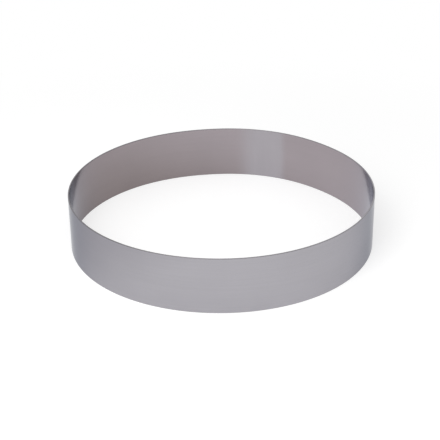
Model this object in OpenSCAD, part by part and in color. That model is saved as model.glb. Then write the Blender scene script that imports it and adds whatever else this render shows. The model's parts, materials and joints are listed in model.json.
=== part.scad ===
// Pastry ring: one strip of stainless steel, rolled into a hoop and butt welded.
// Sizes are in millimetres and angles in degrees. Z is up.
// The origin is the centre of the rolled arc, on the plane that the hoop stands on.

/* [Hoop] */
// Outside diameter of the rolled arc
ring_d = 220; // [60:5:400]
// Height of the hoop, which is the width of the strip
ring_h = 40; // [15:1:120]
// Thickness of the strip
strip_t = 1; // [0.8:0.1:2]
// Radius of the deburred corners along both rims
edge_r = 0.25; // [0.05:0.05:0.3]

/* [Weld] */
// Direction of the weld, seen from above and counted from +X
weld_angle = 71; // [0:1:359]
// Angle on each side of the weld where the rollers let go of the strip
end_turn = 35; // [15:1:44]
// How much larger the bend radius is over the slack flank on each side of the weld
end_slack = 20; // [5:1:40]
// How much smaller the bend radius is over the nose that the flanks meet in
weld_pinch = 13; // [5:1:20]
// Metal that the dressing belt takes off every face of the flanks, and once more at the nose
dress_depth = 0.02; // [0.01:0.01:0.04]

/* [Hidden] */

ring_r = ring_d / 2;
flank_r = ring_r + end_slack;
nose_r = ring_r - weld_pinch;
// Direction in which the nose hands over to a flank, counted from the weld
nose_turn = asin(end_slack * sin(end_turn) / (end_slack + weld_pinch));
// Distance from the centre of the hoop to the centre of the nose
nose_offset = (end_slack + weld_pinch) * cos(nose_turn) - end_slack * cos(end_turn);

hoop_facets = 240;
corner_facets = 24;

// How far a dressed stretch runs on inside the next one, which curves away
// by less than half of the dressing depth over that length
function run_in(r) = sqrt(r * dress_depth);
// Angle that a length turns through on a radius
function turn(length, r) = length / r * 180 / PI;

// Section of the standing strip, with its outer face at x = outer_r
// and every face set back by the depth that has been dressed away
module strip_section(outer_r, dressed) {
    t = strip_t - 2 * dressed;
    h = ring_h - 2 * dressed;
    translate([outer_r - strip_t + dressed, dressed]) {
        translate([edge_r, 0])
            square([t - 2 * edge_r, h]);
        translate([0, edge_r])
            square([t, h - 2 * edge_r]);
        for (x = [edge_r, t - edge_r], z = [edge_r, h - edge_r])
            translate([x, z])
                circle(r = edge_r, $fn = corner_facets);
    }
}

// The strip bent round the Z axis, from one direction to another
module bent_strip(outer_r, from, to, dressed) {
    rotate([0, 0, from])
        rotate_extrude(angle = to - from, $fn = hoop_facets)
            strip_section(outer_r, dressed);
}

// The rolled arc, which is round and leaves out the stretch on both sides of the weld
module rolled_arc() {
    bent_strip(ring_r, end_turn, 360 - end_turn, 0);
}

// One slack flank, tangent to the rolled arc where the rollers let go
module flank() {
    rotate([0, 0, end_turn])
        translate([-end_slack, 0, 0])
            bent_strip(flank_r, nose_turn - end_turn, turn(run_in(ring_r), flank_r), dress_depth);
}

// The nose at the weld, tangent to both flanks
module weld_nose() {
    half_turn = nose_turn + turn(run_in(nose_r), nose_r);
    translate([nose_offset, 0, 0])
        bent_strip(nose_r, -half_turn, half_turn, 2 * dress_depth);
}

// The whole hoop, with its weld turned to where it stands
module ring() {
    color("#a9a7ad")
        rotate([0, 0, weld_angle]) {
            rolled_arc();
            flank();
            mirror([0, 1, 0])
                flank();
            weld_nose();
        }
}

ring();
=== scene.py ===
"""Looks of a pastry ring: one strip of stainless steel, rolled into a hoop and butt welded.

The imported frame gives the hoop's place and size. Lengths are in metres and angles in degrees.
"""

import json
import logging
import math
from dataclasses import dataclass
from enum import Enum
from typing import Any

import bmesh
import bpy
from mathutils import Euler, Matrix, Vector

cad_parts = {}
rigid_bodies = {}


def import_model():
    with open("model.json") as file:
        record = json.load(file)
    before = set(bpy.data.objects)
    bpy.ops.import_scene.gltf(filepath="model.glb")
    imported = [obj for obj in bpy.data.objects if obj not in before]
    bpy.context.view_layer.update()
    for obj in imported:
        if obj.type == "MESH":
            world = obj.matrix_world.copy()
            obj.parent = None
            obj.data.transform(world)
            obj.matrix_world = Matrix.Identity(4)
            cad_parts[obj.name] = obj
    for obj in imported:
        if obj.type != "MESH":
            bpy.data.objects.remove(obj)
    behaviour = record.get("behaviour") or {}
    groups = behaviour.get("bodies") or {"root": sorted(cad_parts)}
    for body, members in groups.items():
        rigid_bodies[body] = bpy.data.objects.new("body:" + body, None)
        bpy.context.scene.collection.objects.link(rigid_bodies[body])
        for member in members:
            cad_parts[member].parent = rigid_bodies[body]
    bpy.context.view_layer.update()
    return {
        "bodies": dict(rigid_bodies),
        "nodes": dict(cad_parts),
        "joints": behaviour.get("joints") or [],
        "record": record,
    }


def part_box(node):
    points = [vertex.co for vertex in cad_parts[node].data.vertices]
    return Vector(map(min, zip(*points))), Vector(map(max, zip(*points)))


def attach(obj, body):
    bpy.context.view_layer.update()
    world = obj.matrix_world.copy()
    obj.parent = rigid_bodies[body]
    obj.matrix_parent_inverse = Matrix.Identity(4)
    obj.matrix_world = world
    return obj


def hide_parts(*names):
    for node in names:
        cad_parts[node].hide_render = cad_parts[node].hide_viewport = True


LOG = logging.getLogger("pastry_ring")
MM = 0.001
UV_NAME = "strip"
# The Mix node's sockets by number: two values, two colours and the colour that comes out
VALUE_A, VALUE_B = 2, 3
COLOUR_A, COLOUR_B, COLOUR_OUT = 6, 7, 2
# Nearly all values of a noise texture lie between these two
NOISE_SPAN = {"From Min": 0.3, "From Max": 0.7}


def linear(hex_colour: str) -> tuple[float, float, float, float]:
    """Turns an sRGB hex colour to the linear colour that a shader takes.

    Args:
        hex_colour: Six hex digits with a leading #.

    Returns:
        Red, green, blue and an alpha of 1.
    """
    parts = [int(hex_colour[i:i + 2], 16) / 255 for i in (1, 3, 5)]
    rgb = [v / 12.92 if v <= 0.04045 else ((v + 0.055) / 1.055) ** 2.4 for v in parts]
    return (*rgb, 1.0)


def towards(azimuth: float, elevation: float) -> Vector:
    """Unit vector in a direction, with the azimuth counted from +X towards +Y."""
    a, e = math.radians(azimuth), math.radians(elevation)
    return Vector((math.cos(a) * math.cos(e), math.sin(a) * math.cos(e), math.sin(e)))


class NodeTree:
    """A node tree of a material or of the world, with one helper that adds nodes."""

    def __init__(self, owner: bpy.types.Material | bpy.types.World) -> None:
        """Clears the owner's node tree.

        Args:
            owner: The material or world that the tree belongs to.
        """
        owner.use_nodes = True
        self.tree = owner.node_tree
        self.tree.nodes.clear()

    def add(self, kind: str, inputs: dict[str | int, Any] | None = None,
            **settings: Any) -> bpy.types.Node:
        """Adds one node with its settings and links.

        Args:
            kind: The node's type, without its ShaderNode prefix.
            inputs: Values or output sockets for the node's inputs, by name or number.
            **settings: Properties of the node itself.

        Returns:
            The new node.
        """
        node = self.tree.nodes.new("ShaderNode" + kind)
        for key, value in settings.items():
            setattr(node, key, value)
        for key, value in (inputs or {}).items():
            if isinstance(value, bpy.types.NodeSocket):
                self.tree.links.new(value, node.inputs[key])
            else:
                node.inputs[key].default_value = value
        return node


@dataclass(frozen=True)
class PaintedShadeDrift:
    """Painted shade and reflection: the strip's tone is darker towards -X and lighter towards +X,
    standing in for the shaded and lit floor that the steel mirrors.
    """

    # Colour at the painted-shade end, on -X, and at the lit end, on +X
    shaded: str
    bright: str
    # Where it starts and ends on the lower rim, as shares of the hoop's radius
    start: float = -1.3
    end: float = 1.3
    # How far it shifts towards -X for each unit of height, so that the painted shade also changes
    # with height
    lean: float = 0.0

    def colour(self, nodes: NodeTree, place: bpy.types.NodeSocket,
               reach: float) -> bpy.types.NodeSocket:
        """Makes the drifting colour.

        Args:
            nodes: The tree that the colour is added to.
            place: Object coordinates.
            reach: The hoop's outer radius.

        Returns:
            The colour.
        """
        across = nodes.add("VectorMath", {0: place, 1: (1, 0, self.lean)}, operation="DOT_PRODUCT")
        share = nodes.add("MapRange", {
            "Value": across.outputs["Value"],
            "From Min": self.start * reach, "From Max": self.end * reach,
        }, interpolation_type="SMOOTHSTEP")
        drifted = nodes.add("Mix", {
            "Factor": share.outputs[0],
            COLOUR_A: linear(self.shaded), COLOUR_B: linear(self.bright),
        }, data_type="RGBA")
        return drifted.outputs[COLOUR_OUT]


class Zone(Enum):
    """Stretch of the strip's surface that has a material of its own, with its slot number."""

    OUTSIDE = 0
    INSIDE = 1
    RIM = 2
    CORNER = 3


@dataclass(frozen=True)
class RolledStainless:
    """Cold-rolled, bright annealed austenitic stainless strip, its weld dressed by a fine belt.

    Polished rolls leave faint lines along the strip, so the eye sees even, neutral greys with
    slightly blurred reflections that turn cooler and darker where the wall is seen at a slant.
    Painted shade and reflection make the tone darker on the -X side and lighter on the +X side.
    The belt leaves short upright lines over the weld, and a slightly lighter patch.
    """

    name: str
    # Painted shade and reflection in the base colour: darker towards -X, lighter towards +X
    shade_drift: PaintedShadeDrift
    # Colour of the belt's patch
    dressed: str
    slant_tint: str
    roughness: float = 0.16
    roughness_swing: float = 0.02
    anisotropy: float = 0.4
    # A quarter turn from the strip's length, because lines stretch highlights across themselves
    stretch_turn: float = 0.25
    # The real lines are about 0.1 mm apart and are drawn coarser, so that they show
    line_pitch: float = 1.5 * MM
    line_length: float = 90 * MM
    line_depth: float = 0.0015 * MM
    line_shade: float = 0.015
    line_detail: float = 3.0
    cloud_size: float = 38 * MM
    cloud_shade: float = 0.02
    cloud_detail: float = 2.0
    # The belt's lines are about 0.1 mm apart too, and are drawn coarser
    belt_pitch: float = 1.6 * MM
    belt_length: float = 26 * MM
    # The patch starts at one side of the weld, where the belt touches down, and the belt
    # lifts off more slowly at the other
    patch_start: float = -14.6 * MM
    start_edge: float = 8 * MM
    patch_end: float = 16.8 * MM
    end_edge: float = 18 * MM
    waver: float = 4 * MM

    def material(self, weld_angle: float, reach: float) -> bpy.types.Material:
        """Makes the material.

        Args:
            weld_angle: Direction of the weld from +X, in degrees.
            reach: The hoop's outer radius, over which the tone drifts to each side.

        Returns:
            The node material.
        """
        made = bpy.data.materials.new(self.name)
        nodes = NodeTree(made)
        place = nodes.add("TexCoord").outputs["Object"]
        along = nodes.add("Mapping", {"Vector": place, "Scale": (
            1 / self.line_length, 1 / self.line_length, 1 / self.line_pitch)})
        lines = nodes.add("TexNoise", {
            "Vector": along.outputs[0], "Scale": 1.0, "Detail": self.line_detail})
        clouds = nodes.add("TexNoise", {
            "Vector": place, "Scale": 1 / self.cloud_size, "Detail": self.cloud_detail})
        at_weld = nodes.add("Mapping", {
            "Vector": place, "Rotation": Euler((0, 0, math.radians(-weld_angle)))})
        split = nodes.add("SeparateXYZ", {0: at_weld.outputs[0]})
        belt_place = nodes.add("Mapping", {"Vector": at_weld.outputs[0], "Scale": (
            1 / self.belt_length, 1 / self.belt_pitch, 1 / self.belt_length)})
        belt = nodes.add("TexNoise", {
            "Vector": belt_place.outputs[0], "Scale": 1.0, "Detail": self.line_detail})
        patch = self._patch(nodes, split, clouds.outputs["Fac"])
        # Base colour with painted shade towards -X and painted light towards +X
        strip = self.shade_drift.colour(nodes, place, reach)
        tone = nodes.add("Mix", {
            "Factor": patch, COLOUR_A: strip, COLOUR_B: linear(self.dressed)}, data_type="RGBA")
        grain = nodes.add("Mix", {
            "Factor": patch, VALUE_A: lines.outputs["Fac"], VALUE_B: belt.outputs["Fac"],
        }, data_type="FLOAT")
        lined = nodes.add("MapRange", {
            "Value": grain.outputs[0], **NOISE_SPAN,
            "To Min": 1 - self.line_shade, "To Max": 1 + self.line_shade})
        clouded = nodes.add("MapRange", {
            "Value": clouds.outputs["Fac"], **NOISE_SPAN,
            "To Min": 1 - self.cloud_shade, "To Max": 1 + self.cloud_shade})
        shade = nodes.add("Math", {
            0: lined.outputs[0], 1: clouded.outputs[0]}, operation="MULTIPLY")
        colour = nodes.add("Mix", {
            "Factor": 1.0, COLOUR_A: tone.outputs[COLOUR_OUT], COLOUR_B: shade.outputs[0],
        }, data_type="RGBA", blend_type="MULTIPLY")
        rough = nodes.add("MapRange", {
            "Value": clouds.outputs["Fac"], **NOISE_SPAN,
            "To Min": self.roughness - self.roughness_swing,
            "To Max": self.roughness + self.roughness_swing})
        bump = nodes.add("Bump", {
            "Height": grain.outputs[0], "Distance": self.line_depth, "Strength": 1.0})
        tangent = nodes.add("Tangent", direction_type="UV_MAP", uv_map=UV_NAME)
        shader = nodes.add("BsdfPrincipled", {
            "Base Color": colour.outputs[COLOUR_OUT], "Metallic": 1.0,
            "Roughness": rough.outputs[0], "Specular Tint": linear(self.slant_tint),
            "Normal": bump.outputs[0], "Anisotropic": self.anisotropy,
            "Anisotropic Rotation": self.stretch_turn, "Tangent": tangent.outputs[0]})
        nodes.add("OutputMaterial", {"Surface": shader.outputs[0]})
        return made

    def _patch(self, nodes: NodeTree, split: bpy.types.Node,
               noise: bpy.types.NodeSocket) -> bpy.types.NodeSocket:
        """Makes the mask of the belt's patch over the weld.

        Args:
            nodes: The tree that the mask is added to.
            split: Separated place, turned so that the weld is on +X.
            noise: Slow noise that makes the patch's edges uneven.

        Returns:
            1 on the patch, falling to 0 past its edges.
        """
        uneven = nodes.add("Math", {
            0: noise, 1: self.waver, 2: split.outputs["Y"]}, operation="MULTIPLY_ADD")
        mask = nodes.add("Math", {
            0: split.outputs["X"], 1: 0.0}, operation="GREATER_THAN").outputs[0]
        edges = ((self.patch_start, self.start_edge, 1), (self.patch_end, self.end_edge, -1))
        for middle, width, side in edges:
            within = nodes.add("MapRange", {
                "Value": uneven.outputs[0],
                "From Min": middle + (self.waver - side * width) / 2,
                "From Max": middle + (self.waver + side * width) / 2,
            }, interpolation_type="SMOOTHSTEP")
            mask = nodes.add("Math", {
                0: mask, 1: within.outputs[0]}, operation="MULTIPLY").outputs[0]
        return mask


@dataclass(frozen=True)
class ShearedEdge:
    """Cut edge of the stainless strip, sheared across and its corners broken by a wheel.

    The shears leave the flat of the edge about as light as the walls, but duller. The wheel
    leaves its corners darker, so the eye sees a thin grey line round both rims. Their tone also
    carries painted shade, darker towards -X and lighter towards +X.
    """

    name: str
    # Painted shade in the base colour: darker towards -X, lighter towards +X
    shade_drift: PaintedShadeDrift
    roughness: float = 0.5
    tooth_pitch: float = 1.3 * MM
    tooth_depth: float = 0.01 * MM
    tooth_shade: float = 0.06
    tooth_detail: float = 2.0

    def material(self, reach: float) -> bpy.types.Material:
        """Makes the material.

        Args:
            reach: The hoop's outer radius, over which the tone drifts to each side.

        Returns:
            The node material.
        """
        made = bpy.data.materials.new(self.name)
        nodes = NodeTree(made)
        place = nodes.add("TexCoord").outputs["Object"]
        teeth = nodes.add("TexNoise", {
            "Vector": place, "Scale": 1 / self.tooth_pitch, "Detail": self.tooth_detail})
        toothed = nodes.add("MapRange", {
            "Value": teeth.outputs["Fac"], **NOISE_SPAN,
            "To Min": 1 - self.tooth_shade, "To Max": 1 + self.tooth_shade})
        tone = nodes.add("Mix", {
            # Base colour with painted shade towards -X
            "Factor": 1.0, COLOUR_A: self.shade_drift.colour(nodes, place, reach),
            COLOUR_B: toothed.outputs[0],
        }, data_type="RGBA", blend_type="MULTIPLY")
        bump = nodes.add("Bump", {
            "Height": teeth.outputs["Fac"], "Distance": self.tooth_depth, "Strength": 1.0})
        shader = nodes.add("BsdfPrincipled", {
            "Base Color": tone.outputs[COLOUR_OUT], "Metallic": 1.0,
            "Roughness": self.roughness, "Normal": bump.outputs[0]})
        nodes.add("OutputMaterial", {"Surface": shader.outputs[0]})
        return made


@dataclass
class Hoop:
    """The strip, rolled round and welded: a rolled arc, a slack flank on each side, and a nose."""

    outer_r: float
    height: float
    strip_t: float
    corner_r: float = 0.25 * MM
    # Direction of the weld from +X, and the angle on each side of it where the arc ends
    weld_angle: float = 71.0
    end_turn: float = 35.0
    # How much larger the flanks' bend radius is than the arc's, and how much smaller the nose's
    end_slack: float = 20 * MM
    weld_pinch: float = 13 * MM
    # How far the strip stands in from the solid's, so that it stays inside its box
    set_in: float = 0.05 * MM
    outside: RolledStainless = RolledStainless(
        "rolled_stainless_outside",
        # Painted shade and reflection: darker towards -X, and darker towards the top on that side
        PaintedShadeDrift("#939197", "#A4A2A7", start=-1.38, end=-0.58, lean=-1.5),
        dressed="#ABA9AE", slant_tint="#CACCD1")
    inside: RolledStainless = RolledStainless(
        "rolled_stainless_inside",
        # Painted shade and reflection: darker towards -X, and darker towards the bottom
        PaintedShadeDrift("#857C7C", "#9F979B", start=-1.0, end=1.05, lean=2.45),
        dressed="#A5A1A6", slant_tint="#E8ECF2")
    # Painted shade on the edge and its corners: darker towards -X, lighter towards +X
    rim: ShearedEdge = ShearedEdge("sheared_stainless_edge", PaintedShadeDrift("#88868A", "#A2A0A4"))
    corner: ShearedEdge = ShearedEdge("deburred_stainless_corner", PaintedShadeDrift("#686568", "#848285"))
    wall_rows: int = 12
    corner_steps: int = 4
    step_turn: float = 0.75
    # Distance from each corner to the row that keeps the wall's shading flat
    support_gap: float = 0.2 * MM
    # Points closer together than the first are merged, and points closer to a cut than the
    # second count as on it
    merge_gap: float = 0.01 * MM
    cut_gap: float = 0.001 * MM
    # The corners' faces have a normal whose upright part lies between these two
    flat_wall_z: float = 0.1
    flat_rim_z: float = 0.99

    @classmethod
    def from_frame(cls, frame: dict[str, Any]) -> "Hoop":
        """Reads the hoop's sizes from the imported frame.


        Returns:
            The hoop with its real sizes.
        """
        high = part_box("ring")[1]
        bore = next(m for m in frame["record"]["mounts"] if m["name"] == "cake_bore")
        return cls(outer_r=high.x, height=high.z, strip_t=high.x - bore["dims"]["r_mm"] * MM)

    def build(self) -> bpy.types.Object:
        """Makes the hoop's mesh, dresses it and puts it on the frame.

        Returns:
            The finished piece.
        """
        bm = bmesh.new()
        self._section(bm)
        self._bend(bm)
        self._support_rows(bm)
        self._order_faces(bm)
        self._zones(bm)
        self._lay_out(bm)
        mesh = bpy.data.meshes.new("hoop")
        bm.to_mesh(mesh)
        bm.free()
        mesh.transform(Matrix.Rotation(math.radians(self.weld_angle), 4, "Z"))
        # The materials come in the order of the zones' slot numbers
        for wall in (self.outside, self.inside):
            mesh.materials.append(wall.material(self.weld_angle, self.outer_r))
        for edge in (self.rim, self.corner):
            mesh.materials.append(edge.material(self.outer_r))
        piece = bpy.data.objects.new("hoop", mesh)
        bpy.context.scene.collection.objects.link(piece)
        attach(piece, "root")
        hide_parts("ring")
        return piece

    def _section(self, bm: bmesh.types.BMesh) -> None:
        """Stands the outline of the strip's section at the weld, on +X.

        Args:
            bm: The empty mesh that the outline goes in.
        """
        verts = bmesh.ops.create_grid(
            bm, x_segments=1, y_segments=self.wall_rows, size=0.5)["verts"]
        bmesh.ops.scale(bm, vec=(self.strip_t, self.height, 1), verts=verts)
        upright = Matrix.Rotation(math.radians(90), 3, "X")
        bmesh.ops.rotate(bm, cent=(0, 0, 0), matrix=upright, verts=verts)
        corners = [v for v in verts if len(v.link_edges) == 2]
        bmesh.ops.bevel(
            bm, geom=corners, affect="VERTICES", offset=self.corner_r,
            segments=self.corner_steps, profile=0.5, material=-1)
        rungs = [e for e in bm.edges if not e.is_boundary]
        bmesh.ops.delete(bm, geom=rungs, context="EDGES_FACES")
        nose_face = self._nose_offset() + self.outer_r - self.weld_pinch - self.set_in
        shift = (nose_face - self.strip_t / 2, 0, self.height / 2)
        bmesh.ops.translate(bm, vec=shift, verts=bm.verts[:])

    def _nose_turn(self) -> float:
        """Direction in which the nose hands over to a flank, in degrees from the weld."""
        reach = self.end_slack * math.sin(math.radians(self.end_turn))
        return math.degrees(math.asin(reach / (self.end_slack + self.weld_pinch)))

    def _nose_offset(self) -> float:
        """Distance from the centre of the hoop to the centre of the nose."""
        return ((self.end_slack + self.weld_pinch) * math.cos(math.radians(self._nose_turn()))
                - self.end_slack * math.cos(math.radians(self.end_turn)))

    def _bend(self, bm: bmesh.types.BMesh) -> None:
        """Bends the section once round the hoop, stretch by stretch, and closes it at the weld.

        Args:
            bm: The mesh that holds the section's outline.
        """
        nose, end = self._nose_turn(), self.end_turn
        nose_centre = Vector((self._nose_offset(), 0, 0))
        stretches = (
            (nose_centre, nose),
            (-self.end_slack * towards(end, 0), end - nose),
            (Vector((0, 0, 0)), 360 - 2 * end),
            (-self.end_slack * towards(-end, 0), end - nose),
            (nose_centre, nose),
        )
        last: list[Any] = bm.verts[:] + bm.edges[:]
        for centre, turn in stretches:
            last = bmesh.ops.spin(
                bm, geom=last, cent=centre, axis=(0, 0, 1), angle=math.radians(turn),
                steps=round(turn / self.step_turn))["geom_last"]
        bmesh.ops.remove_doubles(bm, verts=bm.verts[:], dist=self.merge_gap)
        bmesh.ops.recalc_face_normals(bm, faces=bm.faces[:])

    def _support_rows(self, bm: bmesh.types.BMesh) -> None:
        """Cuts a row close to each rim, so that smooth shading stays flat over the wall.

        Args:
            bm: The closed hoop.
        """
        margin = self.corner_r + self.support_gap
        for z in (margin, self.height - margin):
            bmesh.ops.bisect_plane(
                bm, geom=bm.verts[:] + bm.edges[:] + bm.faces[:], dist=self.cut_gap,
                plane_co=(0, 0, z), plane_no=(0, 0, 1))

    def _order_faces(self, bm: bmesh.types.BMesh) -> None:
        """Orders the faces by their points, because a spin leaves them in a new order each run.

        Args:
            bm: The closed hoop.
        """
        bm.verts.index_update()
        in_order = sorted(bm.faces, key=lambda face: [vert.index for vert in face.verts])
        for place, face in enumerate(in_order):
            face.index = place
        bm.faces.sort()

    def _zones(self, bm: bmesh.types.BMesh) -> None:
        """Gives each face its zone's material slot.

        Args:
            bm: The closed hoop.
        """
        for face in bm.faces:
            face.smooth = True
            upright = abs(face.normal.z)
            if upright > self.flat_rim_z:
                zone = Zone.RIM
            elif upright > self.flat_wall_z:
                zone = Zone.CORNER
            else:
                outwards = face.normal.dot(face.calc_center_median() * Vector((1, 1, 0))) > 0
                zone = Zone.OUTSIDE if outwards else Zone.INSIDE
            face.material_index = zone.value

    def _lay_out(self, bm: bmesh.types.BMesh) -> None:
        """Lays the strip out flat in a UV map in metres, cut at the weld.

        Args:
            bm: The closed hoop, with its weld still on +X.
        """
        layer = bm.loops.layers.uv.new(UV_NAME)
        for face in bm.faces:
            middle = face.calc_center_median()
            heading = math.atan2(middle.y, middle.x) % math.tau
            for loop in face.loops:
                co = loop.vert.co
                # Counted from the face's middle, so that no face is torn at the cut
                turn = math.atan2(co.y, co.x) - heading
                turn = heading + (turn + math.pi) % math.tau - math.pi
                climb = co.z
                # The rims and their corners unfold past the outer wall
                if abs(face.normal.z) > self.flat_wall_z:
                    climb += math.copysign(self.outer_r - math.hypot(co.x, co.y), face.normal.z)
                loop[layer].uv = (turn * self.outer_r, climb)


@dataclass(frozen=True)
class Softbox:
    """A square soft lamp that faces the hoop."""

    name: str
    azimuth: float
    elevation: float
    distance: float
    width: float
    # What a white card at the hoop that faces this lamp alone renders as
    level: float

    def place(self, aim: Vector) -> None:
        """Puts the lamp in the scene.

        Args:
            aim: The point that it faces.
        """
        lamp = bpy.data.lights.new(self.name, "AREA")
        lamp.shape = "SQUARE"
        lamp.size = self.width
        lamp.energy = self.level * math.pi ** 2 * self.distance ** 2
        away = towards(self.azimuth, self.elevation)
        holder = bpy.data.objects.new(self.name, lamp)
        turned = away.to_track_quat("Z", "Y").to_matrix().to_4x4()
        holder.matrix_world = Matrix.Translation(aim + away * self.distance) @ turned
        bpy.context.scene.collection.objects.link(holder)


@dataclass(frozen=True)
class Studio:
    """A pale floor under plain soft light, with white all round."""

    lamps: tuple[Softbox, ...] = (
        Softbox("key", azimuth=250, elevation=45, distance=0.7, width=0.4, level=0.4),
        Softbox("fill", azimuth=240, elevation=12, distance=1.4, width=0.8, level=0.25),
    )
    # Strength of the light from all round that falls on the hoop and the floor
    ambient: float = 0.65
    floor_colour: str = "#C4C4C4"
    floor_half: float = 4.0
    floor_rows: int = 8
    # The floor is lit by the lamps up to the first radius and plain white from the second
    lit_r: float = 0.2
    white_r: float = 0.42
    # Glow that brings the lit floor up to white wherever the hoop casts no shadow
    lift: float = 0.55

    def build(self, aim: Vector) -> None:
        """Makes the floor, the surrounding white and the lamps.

        Args:
            aim: The point that the lamps face.
        """
        self._floor()
        self._surround()
        for lamp in self.lamps:
            lamp.place(aim)

    def _seen(self, nodes: NodeTree) -> bpy.types.NodeSocket:
        """Makes a switch that is 1 for rays that show the background.

        Args:
            nodes: The tree that the switch is added to.

        Returns:
            1 for camera, glossy and transmission rays, otherwise 0.
        """
        path = nodes.add("LightPath").outputs
        first = nodes.add("Math", {
            0: path["Is Camera Ray"], 1: path["Is Glossy Ray"]}, operation="MAXIMUM")
        return nodes.add("Math", {
            0: first.outputs[0], 1: path["Is Transmission Ray"]}, operation="MAXIMUM").outputs[0]

    def _surround(self) -> None:
        """Sets the world: white where it is seen, and a plain ambient light otherwise."""
        world = bpy.data.worlds.new("surround")
        bpy.context.scene.world = world
        nodes = NodeTree(world)
        strength = nodes.add("MapRange", {
            "Value": self._seen(nodes), "To Min": self.ambient, "To Max": 1.0})
        shine = nodes.add("Background", {
            "Color": linear("#FFFFFF"), "Strength": strength.outputs[0]})
        nodes.add("OutputWorld", {"Surface": shine.outputs[0]})

    def _floor(self) -> None:
        """Makes the floor, which keeps the hoop's shadow and turns plain white further out."""
        bm = bmesh.new()
        bmesh.ops.create_grid(
            bm, x_segments=self.floor_rows, y_segments=self.floor_rows, size=self.floor_half)
        mesh = bpy.data.meshes.new("floor")
        bm.to_mesh(mesh)
        bm.free()
        mesh.materials.append(self._floor_material())
        floor = bpy.data.objects.new("floor", mesh)
        bpy.context.scene.collection.objects.link(floor)

    def _floor_material(self) -> bpy.types.Material:
        """Makes matt pale paper that is lit near the hoop and plain white far from it.

        Returns:
            The node material.
        """
        made = bpy.data.materials.new("matt_pale_paper")
        nodes = NodeTree(made)
        place = nodes.add("TexCoord").outputs["Object"]
        reach = nodes.add("VectorMath", {0: place}, operation="LENGTH")
        far = nodes.add("MapRange", {
            "Value": reach.outputs["Value"], "From Min": self.lit_r, "From Max": self.white_r,
        }, interpolation_type="SMOOTHSTEP")
        seen = self._seen(nodes)
        white = nodes.add("Math", {0: seen, 1: far.outputs[0]}, operation="MULTIPLY")
        lift = nodes.add("Math", {0: seen, 1: self.lift}, operation="MULTIPLY")
        paper = nodes.add("BsdfDiffuse", {"Color": linear(self.floor_colour)})
        glow = nodes.add("Emission", {"Color": linear("#FFFFFF"), "Strength": lift.outputs[0]})
        lit = nodes.add("AddShader", {0: paper.outputs[0], 1: glow.outputs[0]})
        plain = nodes.add("Emission", {"Color": linear("#FFFFFF"), "Strength": 1.0})
        mixed = nodes.add("MixShader", {
            0: white.outputs[0], 1: lit.outputs[0], 2: plain.outputs[0]})
        nodes.add("OutputMaterial", {"Surface": mixed.outputs[0]})
        return made


@dataclass(frozen=True)
class PhotoCamera:
    """The camera as it stood for the photograph, with the hoop's centre at its place in it."""

    azimuth: float = -90.0
    elevation: float = 26.16
    distance: float = 825.2 * MM
    roll: float = -0.576
    focal_px: float = 1132.9
    frame_px: float = 440.0
    centre_px: tuple[float, float] = (221.6, 210.93)
    sensor_mm: float = 36.0

    def place(self, aim: Vector) -> None:
        """Makes the scene's camera.

        Args:
            aim: The hoop's centre, which the camera faces.
        """
        data = bpy.data.cameras.new("camera")
        data.sensor_width = self.sensor_mm
        data.lens = self.focal_px * self.sensor_mm / self.frame_px
        data.shift_x = 0.5 - self.centre_px[0] / self.frame_px
        data.shift_y = self.centre_px[1] / self.frame_px - 0.5
        away = towards(self.azimuth, self.elevation)
        rolled = Matrix.Rotation(math.radians(self.roll), 3, "Z")
        turned = away.to_track_quat("Z", "Y").to_matrix() @ rolled
        holder = bpy.data.objects.new("camera", data)
        holder.matrix_world = Matrix.Translation(aim + away * self.distance) @ turned.to_4x4()
        bpy.context.scene.collection.objects.link(holder)
        bpy.context.scene.camera = holder


def main() -> None:
    """Builds the hoop, the studio and the camera."""
    logging.basicConfig(level=logging.INFO, format="%(name)s: %(message)s")
    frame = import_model()
    hoop = Hoop.from_frame(frame)
    piece = hoop.build()
    LOG.info("%s: %d faces", piece.name, len(piece.data.polygons))
    centre = Vector((0, 0, hoop.height / 2))
    Studio().build(centre)
    PhotoCamera().place(centre)
    bpy.context.scene.view_settings.view_transform = "Standard"


if __name__ == "__main__":
    main()
